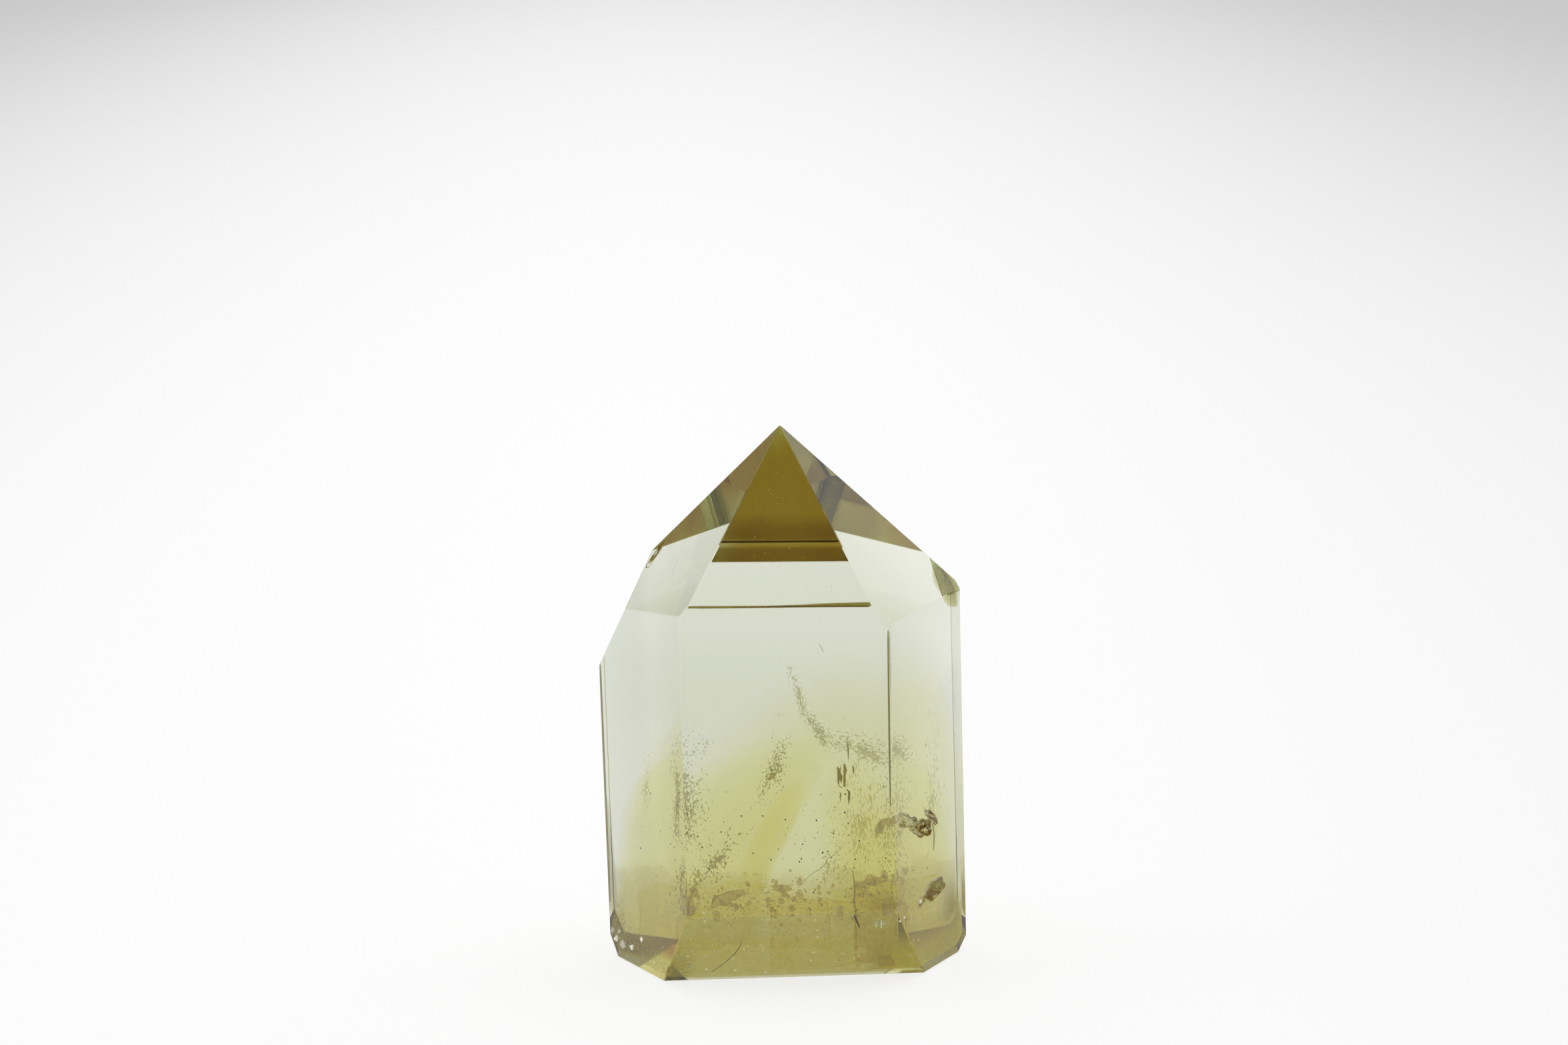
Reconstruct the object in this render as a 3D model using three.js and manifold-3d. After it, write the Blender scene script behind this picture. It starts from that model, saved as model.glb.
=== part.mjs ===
// Citrine tower: one natural quartz point, cut flat underneath so that it stands.
// Millimetres, +Z up. The origin is the middle of the outline, on the resting face.
import * as THREE from 'three';
import { mergeVertices } from 'three/addons/utils/BufferGeometryUtils.js';
import Module from 'manifold-3d';

// ---------------------------------------------------------------- driving dimensions

// Each flat face of the crystal lies in one plane, given by three numbers:
//   facing  direction that the face looks in, degrees counter-clockwise from +X
//   lean    angle of the outward normal from straight up: 90 is upright, more looks down
//   reach   distance of the plane from the origin
const PRISM_FACES = {
  front: { facing: 270, lean: 90.6, reach: 11.13 },
  frontLeft: { facing: 210.8, lean: 90.2, reach: 13.78 },
  frontRight: { facing: 327.4, lean: 90, reach: 14.46 },
  backLeft: { facing: 149.8, lean: 90.6, reach: 15.48 },
  back: { facing: 89.6, lean: 90.4, reach: 11.2 },
  backRight: { facing: 30.2, lean: 89.4, reach: 14.95 },
};
const POINT_FACES = {
  front: { facing: 270.8, lean: 59.6, reach: 28.64 },
  frontLeft: { facing: 205.6, lean: 51.6, reach: 32.93 },
  frontRight: { facing: 325.8, lean: 53.2, reach: 32.62 },
  backLeft: { facing: 149, lean: 45.2, reach: 35.4 },
  back: { facing: 88.8, lean: 52.8, reach: 29.28 },
  backRight: { facing: 31.2, lean: 45.8, reach: 35.5 },
};
// Small facets that take off the sharp shoulders between prism and point.
const SHOULDER_FACETS = {
  left: { facing: 175.1, lean: 64.1, reach: 27.97 },
  right: { facing: 1.8, lean: 61.4, reach: 31.88 },
  frontRight: { facing: 306.2, lean: 66.4, reach: 27.5 },
};
// Polished bevels that draw the prism in to its foot, and the cut that it stands on.
const FOOT_FACETS = {
  front: { facing: 270.4, lean: 119, reach: 6.14 },
  backLeft: { facing: 148.8, lean: 122.8, reach: 11.85 },
  backRight: { facing: 30, lean: 139.8, reach: 8.71 },
  underside: { facing: 0, lean: 180, reach: 0 },
};
const EDGE_FLAT = 0.14; // width of the polished flat along every edge

// Hollows broken or grown into the faces. Each sits at a height on a prism or point
// face, a distance along it from the middle of that face (towards the right as one
// looks at it), and is an uneven bowl: width along the face, height up it, depth into it.
// Turn rolls the bowl about the face's own normal, anticlockwise, in degrees.
const HOLLOWS = [
  { on: PRISM_FACES.frontRight, up: 15.8, along: -2.3, width: 4.1, height: 1.3, depth: 0.5, turn: -22 },
  { on: PRISM_FACES.frontRight, up: 14.9, along: -0.6, width: 2.4, height: 1.4, depth: 0.7, turn: -35 },
  { on: PRISM_FACES.frontRight, up: 14.1, along: 1.3, width: 3.2, height: 1.7, depth: 0.8, turn: -12 },
  { on: PRISM_FACES.frontRight, up: 14.8, along: 2.8, width: 3.0, height: 0.9, depth: 0.35, turn: -39 },
  { on: PRISM_FACES.frontRight, up: 7.6, along: 3.3, width: 3.9, height: 1.8, depth: 0.9, turn: 8 },
  { on: PRISM_FACES.frontRight, up: 7.1, along: 0.7, width: 1.6, height: 0.8, depth: 0.3, turn: 30 },
  { on: POINT_FACES.frontLeft, up: 39.5, along: -4.4, width: 3.0, height: 0.8, depth: 0.25, turn: 87 },
];
const HOLLOW_UNEVENNESS = 0.16; // share of its radius that a bowl's wall wanders by
const SAME_POINT = 1e-4; // corners closer than this are one corner
const ON_PLANE = 1e-5; // how far a corner may lie from a face it belongs to

const CRYSTAL_COLOUR = 0xd9d6ab;
const CRYSTAL_ROUGHNESS = 0.04;

// ---------------------------------------------------------------- planes and corners

/** Unit vector that looks in a facing direction and leans away from straight up. */
function direction(facing, lean) {
  const around = THREE.MathUtils.degToRad(facing);
  const down = THREE.MathUtils.degToRad(lean);
  return new THREE.Vector3(
    Math.cos(around) * Math.sin(down), Math.sin(around) * Math.sin(down), Math.cos(down));
}

/** The plane of one face: the solid lies where normal . point is less than reach. */
function facePlane({ facing, lean, reach }) {
  return { normal: direction(facing, lean), reach };
}

/** Where three planes meet, or null when two of them are parallel. */
function meetingPoint(a, b, c) {
  const rows = new THREE.Matrix3().set(
    ...a.normal.toArray(), ...b.normal.toArray(), ...c.normal.toArray());
  if (Math.abs(rows.determinant()) < 1e-9) return null;
  return new THREE.Vector3(a.reach, b.reach, c.reach).applyMatrix3(rows.invert());
}

/** Every corner of the convex solid that lies below all the planes. */
function cornersOf(planes) {
  const corners = [];
  const addCorner = (point) => {
    if (!point || planes.some((p) => p.normal.dot(point) > p.reach + ON_PLANE)) return;
    if (!corners.some((c) => c.distanceTo(point) < SAME_POINT)) corners.push(point);
  };
  planes.forEach((a, i) => {
    planes.slice(i + 1).forEach((b, j) => {
      planes.slice(i + j + 2).forEach((c) => addCorner(meetingPoint(a, b, c)));
    });
  });
  return corners;
}

/** Those of the corners that lie on a plane. */
function cornersOn(plane, corners) {
  return corners.filter((c) => Math.abs(plane.normal.dot(c) - plane.reach) < SAME_POINT);
}

/** The narrow plane that takes the edge between two faces down to a flat. */
function edgeFlat(a, b, pointOnEdge) {
  const normal = a.normal.clone().add(b.normal).normalize();
  const depth = (EDGE_FLAT / 2) * Math.tan(a.normal.angleTo(b.normal) / 2);
  return { normal, reach: normal.dot(pointOnEdge) - depth };
}

/** One narrow plane for each pair of faces that share an edge. */
function edgeFlats(planes) {
  const corners = cornersOf(planes);
  const flats = [];
  planes.forEach((a, i) => {
    planes.slice(i + 1).forEach((b) => {
      const shared = cornersOn(b, cornersOn(a, corners));
      if (shared.length >= 2) flats.push(edgeFlat(a, b, shared[0]));
    });
  });
  return flats;
}

// ---------------------------------------------------------------- meshes

/** The corners on one face, in order around it as seen from outside. */
function faceLoop(plane, corners) {
  const loop = cornersOn(plane, corners);
  const middle = loop.reduce((sum, c) => sum.add(c), new THREE.Vector3())
    .divideScalar(loop.length);
  const across = loop[0].clone().sub(middle).normalize();
  const up = new THREE.Vector3().crossVectors(plane.normal, across);
  const angleOf = (c) => {
    const spoke = c.clone().sub(middle);
    return Math.atan2(spoke.dot(up), spoke.dot(across));
  };
  return loop.sort((a, b) => angleOf(a) - angleOf(b));
}

/** A closed geometry of the convex solid below all the planes, each face fanned. */
function convexSolid(planes) {
  const corners = cornersOf(planes);
  const positions = [];
  planes.forEach((plane) => {
    if (cornersOn(plane, corners).length < 3) return;
    const loop = faceLoop(plane, corners);
    for (let i = 2; i < loop.length; i += 1) {
      positions.push(...loop[0], ...loop[i - 1], ...loop[i]);
    }
  });
  const geometry = new THREE.BufferGeometry();
  geometry.setAttribute('position', new THREE.Float32BufferAttribute(positions, 3));
  return geometry;
}

/** The uneven bowl that one hollow takes out of its face. */
function hollowBowl({ on, up, along, width, height, depth, turn }) {
  const { normal } = facePlane(on);
  const right = direction(on.facing + 90, 90);
  const upFace = new THREE.Vector3().crossVectors(normal, right);
  const rise = (up - on.reach * normal.z) / upFace.z;
  const centre = normal.clone().multiplyScalar(on.reach)
    .addScaledVector(right, along).addScaledVector(upFace, rise);

  const bowl = new THREE.IcosahedronGeometry(1, 2);
  const wall = bowl.getAttribute('position');
  const point = new THREE.Vector3();
  for (let i = 0; i < wall.count; i += 1) {
    point.fromBufferAttribute(wall, i);
    const waver = Math.sin(5.1 * point.x + 3 * along) * Math.cos(4.3 * point.y + 2 * up);
    const facet = Math.cos(9.7 * point.x - 6.1 * point.y + up);
    point.multiplyScalar(1 + HOLLOW_UNEVENNESS * (waver + 0.5 * facet));
    wall.setXYZ(i, point.x, point.y, point.z);
  }
  bowl.scale(width / 2, height / 2, depth);
  bowl.rotateZ(THREE.MathUtils.degToRad(turn));
  bowl.applyMatrix4(new THREE.Matrix4().makeBasis(right, upFace, normal).setPosition(centre));
  return bowl;
}

// ---------------------------------------------------------------- cutting

const wasm = await Module();
wasm.setup();

/** A solid that can be cut, from a closed geometry. */
function toSolid(geometry) {
  const bare = geometry.clone();
  bare.deleteAttribute('normal');
  bare.deleteAttribute('uv');
  const merged = mergeVertices(bare, SAME_POINT);
  return new wasm.Manifold(new wasm.Mesh({
    numProp: 3,
    vertProperties: new Float32Array(merged.getAttribute('position').array),
    triVerts: new Uint32Array(merged.index.array),
  }));
}

/** The triangles of a cut solid, as a geometry with flat shading. */
function toGeometry(solid) {
  const { vertProperties, triVerts } = solid.getMesh();
  const indexed = new THREE.BufferGeometry();
  indexed.setAttribute('position', new THREE.BufferAttribute(vertProperties, 3));
  indexed.setIndex(new THREE.BufferAttribute(triVerts, 1));
  const geometry = indexed.toNonIndexed();
  geometry.computeVertexNormals();
  return geometry;
}

// ---------------------------------------------------------------- the crystal

/** The whole point: prism, termination, shoulders and foot, with its hollows cut in. */
function crystal() {
  const faces = [PRISM_FACES, POINT_FACES, SHOULDER_FACETS, FOOT_FACETS]
    .flatMap((family) => Object.values(family)).map(facePlane);
  const whole = toSolid(convexSolid([...faces, ...edgeFlats(faces)]));
  const cut = HOLLOWS.reduce((body, hollow) => body.subtract(toSolid(hollowBowl(hollow))), whole);
  const material = new THREE.MeshStandardMaterial({
    color: CRYSTAL_COLOUR, roughness: CRYSTAL_ROUGHNESS, metalness: 0,
  });
  const mesh = new THREE.Mesh(toGeometry(cut), material);
  mesh.name = 'crystal';
  return mesh;
}

const tower = new THREE.Group();
tower.add(crystal());

export default tower;
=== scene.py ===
"""Dresses the citrine tower: a clear quartz point, smoky and yellow inside.

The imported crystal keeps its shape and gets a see-through quartz finish. Inside it go the
smoky and yellow growth zones, the cloudy foot, the veils of specks and fine grains, the
fractures, the glints and the brown stain of the hollows, each as a mesh of its own. A
bright floor, soft light and a camera complete the scene.
"""

import logging
import math
from dataclasses import dataclass, field
from enum import Enum
from typing import Protocol, Self

import bmesh
import bpy
from mathutils import Euler, Matrix, Vector, noise


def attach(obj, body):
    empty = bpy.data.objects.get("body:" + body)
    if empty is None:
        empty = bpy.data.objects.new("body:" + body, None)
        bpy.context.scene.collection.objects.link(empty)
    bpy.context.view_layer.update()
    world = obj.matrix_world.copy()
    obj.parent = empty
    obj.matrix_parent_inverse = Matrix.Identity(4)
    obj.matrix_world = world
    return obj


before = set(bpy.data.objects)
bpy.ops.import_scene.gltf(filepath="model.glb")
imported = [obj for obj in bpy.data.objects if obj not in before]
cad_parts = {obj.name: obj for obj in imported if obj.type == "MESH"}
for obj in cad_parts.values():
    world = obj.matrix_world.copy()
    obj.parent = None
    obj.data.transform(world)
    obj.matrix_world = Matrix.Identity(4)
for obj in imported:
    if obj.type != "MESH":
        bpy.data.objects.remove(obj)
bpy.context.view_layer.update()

LOG = logging.getLogger("citrine_tower")
MM = 0.001
NODE = "crystal"
BODY = "root"
QUARTZ_IOR = 1.548
FIRST_INSET = 0.04 * MM  # how far the outermost inner piece stays inside the crystal's faces
NEXT_INSET = 0.03 * MM  # how much further in each next one stays: no two share a surface
PLATE_INSET = 0.055 * MM  # how far inside the faces thin plates end
SAME_SPOT = 1e-7  # metres: points closer than this are one point when a shell is cut
ICO_CORNERS = {1: 12, 2: 42}  # a shard's corners, by its level of detail
NOISE_SEED = 5  # so that the ragged rims are the same each run
WHITE = (1, 1, 1, 1)

Pair = tuple[float, float]
Triple = tuple[float, float, float]
Outline = list[Pair]
Material = bpy.types.Material
Node = bpy.types.Node
Socket = bpy.types.NodeSocket
Piece = bpy.types.Object
Shell = bmesh.types.BMesh


def mm(x: float, y: float, z: float) -> Vector:
    """A point given in millimetres, in the scene's metres."""
    return Vector((x, y, z)) * MM


# ------------------------------------------------------------------ node helpers


@dataclass
class Nodes:
    """A node tree, and short ways to add nodes to it.

    A value is a number, a colour or a vector, or else another node's output socket.
    """

    tree: bpy.types.NodeTree

    def feed(self, socket: Socket, value: object) -> None:
        """Gives an input its value.

        Args:
            socket: The input socket.
            value: A plain value to set, or a socket to link.
        """
        if isinstance(value, Socket):
            self.tree.links.new(value, socket)
        else:
            socket.default_value = value

    def add(self, kind: str, **values: object) -> Node:
        """Adds a node and gives its inputs their values.

        Args:
            kind: The node's type. Without a family name in front, it is a shader node.
            values: The inputs' values by name, with underscores for spaces.

        Returns:
            The new node.
        """
        family = "" if kind.startswith(("GeometryNode", "FunctionNode")) else "ShaderNode"
        node = self.tree.nodes.new(family + kind)
        for name, value in values.items():
            self.feed(node.inputs[name.replace("_", " ")], value)
        return node

    def pair(self, kind: str, operation: str, a: object, b: object) -> Node:
        """Adds a node that works one result out of two values.

        Args:
            kind: Math or VectorMath.
            operation: What it does with them, such as MULTIPLY.
            a: The first value.
            b: The second value.

        Returns:
            The new node.
        """
        node = self.add(kind)
        node.operation = operation
        self.feed(node.inputs[0], a)
        self.feed(node.inputs[1], b)
        return node

    def maths(self, operation: str, a: object, b: object, clamp: bool = False) -> Socket:
        """Works out a number.

        Args:
            operation: What is done with the two numbers, such as MULTIPLY.
            a: The first number.
            b: The second number.
            clamp: Whether the result is kept between 0 and 1.

        Returns:
            The result.
        """
        node = self.pair("Math", operation, a, b)
        node.use_clamp = clamp
        return node.outputs[0]

    def vector(self, operation: str, a: object, b: object) -> Socket:
        """Works out a vector from two vectors."""
        return self.pair("VectorMath", operation, a, b).outputs[0]

    def blend(self, share: object, first: Node, second: Node) -> Node:
        """Blends two shaders.

        Args:
            share: How much of the second there is, from 0 to 1.
            first: The first shader.
            second: The second shader.

        Returns:
            The blend.
        """
        node = self.add("MixShader", Fac=share)
        self.feed(node.inputs[1], first.outputs[0])
        self.feed(node.inputs[2], second.outputs[0])
        return node

    def clear(self, passed: object = WHITE) -> Node:
        """A surface that bends no light and lets a colour through."""
        return self.add("BsdfTransparent", Color=passed)

    def place(self) -> Socket:
        """Where a point is, in the piece's own coordinates."""
        return self.add("TexCoord").outputs["Object"]

    def axes(self, vector: Socket) -> bpy.types.NodeOutputs:
        """A vector's x, y and z."""
        return self.add("SeparateXYZ", Vector=vector).outputs

    def counted(self, centre: object, size: object, turn: float = 0.0) -> Socket:
        """Places counted from a centre, in units of a size.

        Args:
            centre: Where the count starts, in metres.
            size: The unit along x, y and z, in metres.
            turn: How far the axes are turned about y, in radians.

        Returns:
            The counted place.
        """
        node = self.add(
            "Mapping", Vector=self.place(), Location=centre, Rotation=(0, turn, 0), Scale=size)
        node.vector_type = "TEXTURE"
        return node.outputs[0]

    def ball(self, place: Socket) -> Socket:
        """How near a counted place is to its centre.

        Args:
            place: The counted place.

        Returns:
            The nearness: 1 in the centre, and 0 from one unit outwards.
        """
        node = self.add("TexGradient", Vector=place)
        node.gradient_type = "SPHERICAL"
        return node.outputs[1]

    def spread(self, value: Socket, low: float, high: float, least: float = 0.0) -> Socket:
        """Stretches a number smoothly from one range to another.

        Args:
            value: The number.
            low: Where its range starts.
            high: Where its range ends, which may be below the start.
            least: Where the new range starts. It ends at 1.

        Returns:
            The stretched number.
        """
        node = self.add("MapRange", Value=value, From_Min=low, From_Max=high, To_Min=least)
        node.interpolation_type = "SMOOTHSTEP"
        return node.outputs[0]

    def patches(
        self, size: float, stretch: Triple = (1, 1, 1), rough: float = 0.6, shift: float = 0.0
    ) -> Socket:
        """Adds noise in the piece's own coordinates.

        Args:
            size: The size of the patches, in millimetres.
            stretch: How much longer the patches are along x, y and z.
            rough: How much fine detail they have, from 0 to 1.
            shift: How far the pattern is moved, so that two can differ.

        Returns:
            The noise, from 0 to 1.
        """
        moved = self.add(
            "Mapping", Vector=self.place(), Location=(shift,) * 3,
            Scale=tuple(1 / (size * MM * s) for s in stretch))
        grain = self.add(
            "TexNoise", Vector=moved.outputs[0], Scale=1.0, Detail=6.0, Roughness=rough)
        return grain.outputs[0]


class Paint(Nodes):
    """A new material and its node tree."""

    def __init__(self, name: str) -> None:
        """Makes the empty material.

        Args:
            name: The material's name.
        """
        self.material = bpy.data.materials.new(name)
        self.material.use_nodes = True
        super().__init__(self.material.node_tree)
        self.tree.nodes.clear()
        self.output = self.add("OutputMaterial")

    def done(self, surface: Node, volume: Node | None = None) -> Material:
        """Joins the last shaders to the output.

        Args:
            surface: What the piece's skin does with light.
            volume: What its inside does, if it does anything.

        Returns:
            The finished material.
        """
        self.feed(self.output.inputs["Surface"], surface.outputs[0])
        if volume:
            self.feed(self.output.inputs["Volume"], volume.outputs[0])
        return self.material


# ------------------------------------------------------------------ finishes


class Finish(Protocol):
    """Anything that can make a piece's material."""

    def build(self) -> Material:
        """Makes the material."""


@dataclass(frozen=True)
class Absorption:
    """How strongly each colour dies out inside a clear material, per metre."""

    red: float
    green: float
    blue: float

    def times(self, factor: float) -> Self:
        """The same colour, a number of times as strong."""
        return Absorption(self.red * factor, self.green * factor, self.blue * factor)

    def node(self, nodes: Nodes) -> Node:
        """Makes the plain Volume Absorption node of this strength.

        Args:
            nodes: The tree that the node goes into.

        Returns:
            The volume node.
        """
        density = max(self.red, self.green, self.blue)
        passed = [1 - k / density for k in (self.red, self.green, self.blue)]
        return nodes.add("VolumeAbsorption", Color=(*passed, 1), Density=density)


@dataclass(frozen=True)
class QuartzFinish:
    """Polished clear quartz with a faint smoky tint."""

    name: str = "quartz"
    tint: Absorption = Absorption(12.9, 11.5, 19.0)
    roughness: float = 0.0

    def build(self) -> Material:
        """Makes the quartz material.

        Returns:
            The material.
        """
        paint = Paint(self.name)
        glass = paint.add(
            "BsdfPrincipled", Base_Color=WHITE, Roughness=self.roughness,
            Transmission_Weight=1.0, IOR=QUARTZ_IOR)
        return paint.done(glass, self.tint.node(paint))


@dataclass(frozen=True)
class ZoneFinish:
    """A colour zone: it has no surface of its own, and only takes light out."""

    name: str
    tint: Absorption

    def build(self) -> Material:
        """Makes the zone material."""
        paint = Paint(self.name)
        return paint.done(paint.clear(), self.tint.node(paint))


@dataclass(frozen=True)
class HazeFinish:
    """Fine cloudiness that scatters light, with no surface of its own."""

    name: str = "haze"
    colour: Triple = (1.0, 0.97, 0.8)
    density: float = 45.0
    forward: float = 0.5

    def build(self) -> Material:
        """Makes the haze material.

        Returns:
            The material.
        """
        paint = Paint(self.name)
        fog = paint.add(
            "VolumeScatter", Color=(*self.colour, 1), Density=self.density,
            Anisotropy=self.forward)
        return paint.done(paint.clear(), fog)


@dataclass(frozen=True)
class ShardFinish:
    """Small flaws: they hold light back, and scatter or mirror some of it."""

    name: str
    passed: Triple = (0.5, 0.46, 0.3)
    body: Triple = (0.3, 0.26, 0.14)
    solid: float = 0.3
    mirror: float = 0.0
    shine: Triple = (1.0, 0.97, 0.82)
    roughness: float = 0.15

    def build(self) -> Material:
        """Makes the shard material, or finds it if it has been made.

        Returns:
            The material.
        """
        if self.name in bpy.data.materials:
            return bpy.data.materials[self.name]
        paint = Paint(self.name)
        solid = paint.add("BsdfDiffuse", Color=(*self.body, 1))
        mirror = paint.add("BsdfAnisotropic", Color=(*self.shine, 1), Roughness=self.roughness)
        dull = paint.blend(self.solid, paint.clear((*self.passed, 1)), solid)
        return paint.done(paint.blend(self.mirror, dull, mirror))


@dataclass(frozen=True)
class StainFinish:
    """Brown stain in a hollow, in patches, with cream where the broken quartz shows; on the gouge's
    ridges the cream is partly a painted highlight.
    """

    name: str = "stain"
    brown: Triple = (0.5, 0.29, 0.1)
    # partly painted highlight: the bright cream of the ridges stands for their glossy shine as well
    # as the pale broken quartz
    cream_and_highlight: Triple = (0.98, 0.93, 0.8)
    passed: Triple = (0.97, 0.95, 0.86)  # what gets through where the stain has worn off
    patch_size: float = 0.42
    patch_range: Pair = (0.46, 0.58)  # the level where cream ends and where brown is full
    brown_from: Pair = (11.4, 12.6)  # across: cream left of this, brown right of it
    brown_shift: Pair = (-0.12, 0.1)  # what that adds to the level, at either end
    pit_core: Triple = (14.1, -4.9, 7.2)
    pit_size: float = 1.35
    pit_full: float = 0.5  # how near its core the pit is at its brownest
    pit_shift: Pair = (-0.16, 0.25)  # what the pit adds to the level, at its rim and core
    pit_below: Pair = (11.0, 10.0)  # the heights between the gouge and the pit
    worn_stretch: Triple = (1.0, 1.0, 2.2)
    worn_shift: float = 7.0
    worn_range: Pair = (0.38, 0.56)
    thin_from: Pair = (34.0, 20.0)  # the stain thickens from the first height to the second
    thinnest: float = 0.2
    thickened: float = 0.7
    through: float = 0.72

    def brownness(self, paint: Paint) -> Socket:
        """How brown the stain is at a place.

        Args:
            paint: The material's nodes.

        Returns:
            The share of brown, from 0 to 1.
        """
        across, _, height = paint.axes(paint.place())
        gouge = paint.add(
            "MapRange", Value=across, From_Min=self.brown_from[0] * MM,
            From_Max=self.brown_from[1] * MM, To_Min=self.brown_shift[0],
            To_Max=self.brown_shift[1])
        near = paint.ball(paint.counted(mm(*self.pit_core), (self.pit_size * MM,) * 3))
        pit = paint.add(
            "MapRange", Value=near, From_Max=self.pit_full, To_Min=self.pit_shift[0],
            To_Max=self.pit_shift[1])
        low_down = paint.spread(height, self.pit_below[0] * MM, self.pit_below[1] * MM)
        shift = paint.add("Mix", Factor=low_down, A=gouge.outputs[0], B=pit.outputs[0])
        level = paint.maths("ADD", paint.patches(self.patch_size), shift.outputs[0])
        return paint.spread(level, *self.patch_range)

    def cover(self, paint: Paint) -> Socket:
        """How much of the surface is broken quartz or stain at a place.

        Args:
            paint: The material's nodes.

        Returns:
            The share, from 0 to 1.
        """
        worn = paint.patches(self.patch_size / 2, self.worn_stretch, shift=self.worn_shift)
        whole = paint.spread(worn, *self.worn_range)
        height = paint.axes(paint.place())[2]
        thick = paint.spread(height, self.thin_from[0] * MM, self.thin_from[1] * MM)
        kept = paint.maths("ADD", self.thinnest, paint.maths("MULTIPLY", thick, self.thickened))
        return paint.maths("MULTIPLY", whole, kept)

    def build(self) -> Material:
        """Makes the stain material.

        Returns:
            The material.
        """
        paint = Paint(self.name)
        colour = paint.add(
            "MixRGB", Fac=self.brownness(paint), Color1=(*self.cream_and_highlight, 1),
            Color2=(*self.brown, 1)).outputs[0]
        rough = paint.blend(
            self.through, paint.add("BsdfDiffuse", Color=colour),
            paint.add("BsdfTranslucent", Color=colour))
        return paint.done(paint.blend(self.cover(paint), paint.clear((*self.passed, 1)), rough))


@dataclass(frozen=True)
class GrainFinish:
    """Fine dark grains in a clear sheet, closest together in its middle."""

    name: str
    passed: Triple = (0.7, 0.68, 0.56)
    grain: Pair = (0.2, 0.3)  # the grains' width and length
    cover: Pair = (1.0, 1.14)  # the level where the grains start and where they are darkest
    crowding: float = 0.3
    clump_size: Pair = (1.4, 2.24)
    clumping: float = 0.6

    def build(self, centre: Vector, turn: float, half: Pair) -> Material:
        """Makes the grain material of one sheet.

        Args:
            centre: The sheet's middle, in millimetres.
            turn: How far the sheet is turned in its plane, in radians.
            half: The sheet's half width and half length, in millimetres.

        Returns:
            The material.
        """
        paint = Paint(self.name)

        def laid(size: Pair) -> Socket:
            """Places in the sheet, counted in cells of a width and a length."""
            return paint.counted(centre * MM, mm(size[0], size[0], size[1]), turn)

        grain = paint.add(
            "TexNoise", Vector=laid(self.grain), Scale=1.0, Detail=1.5, Roughness=0.6)
        clump = paint.add("TexNoise", Vector=laid(self.clump_size), Scale=1.0, Detail=3.0)
        clumps = paint.maths("MULTIPLY", clump.outputs[0], self.clumping)
        level = paint.maths("ADD", grain.outputs[0], clumps)
        crowd = paint.maths("MULTIPLY", paint.ball(laid(half)), self.crowding)
        level = paint.maths("ADD", level, crowd)
        tint = paint.add(
            "MixRGB", Fac=paint.spread(level, *self.cover), Color1=WHITE,
            Color2=(*self.passed, 1))
        return paint.done(paint.clear(tint.outputs[0]))


class Corners(Enum):
    """Which corners of the foot a cloud is kept to."""

    NONE = 0.0
    LEFT = -1.0
    RIGHT = 1.0


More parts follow.
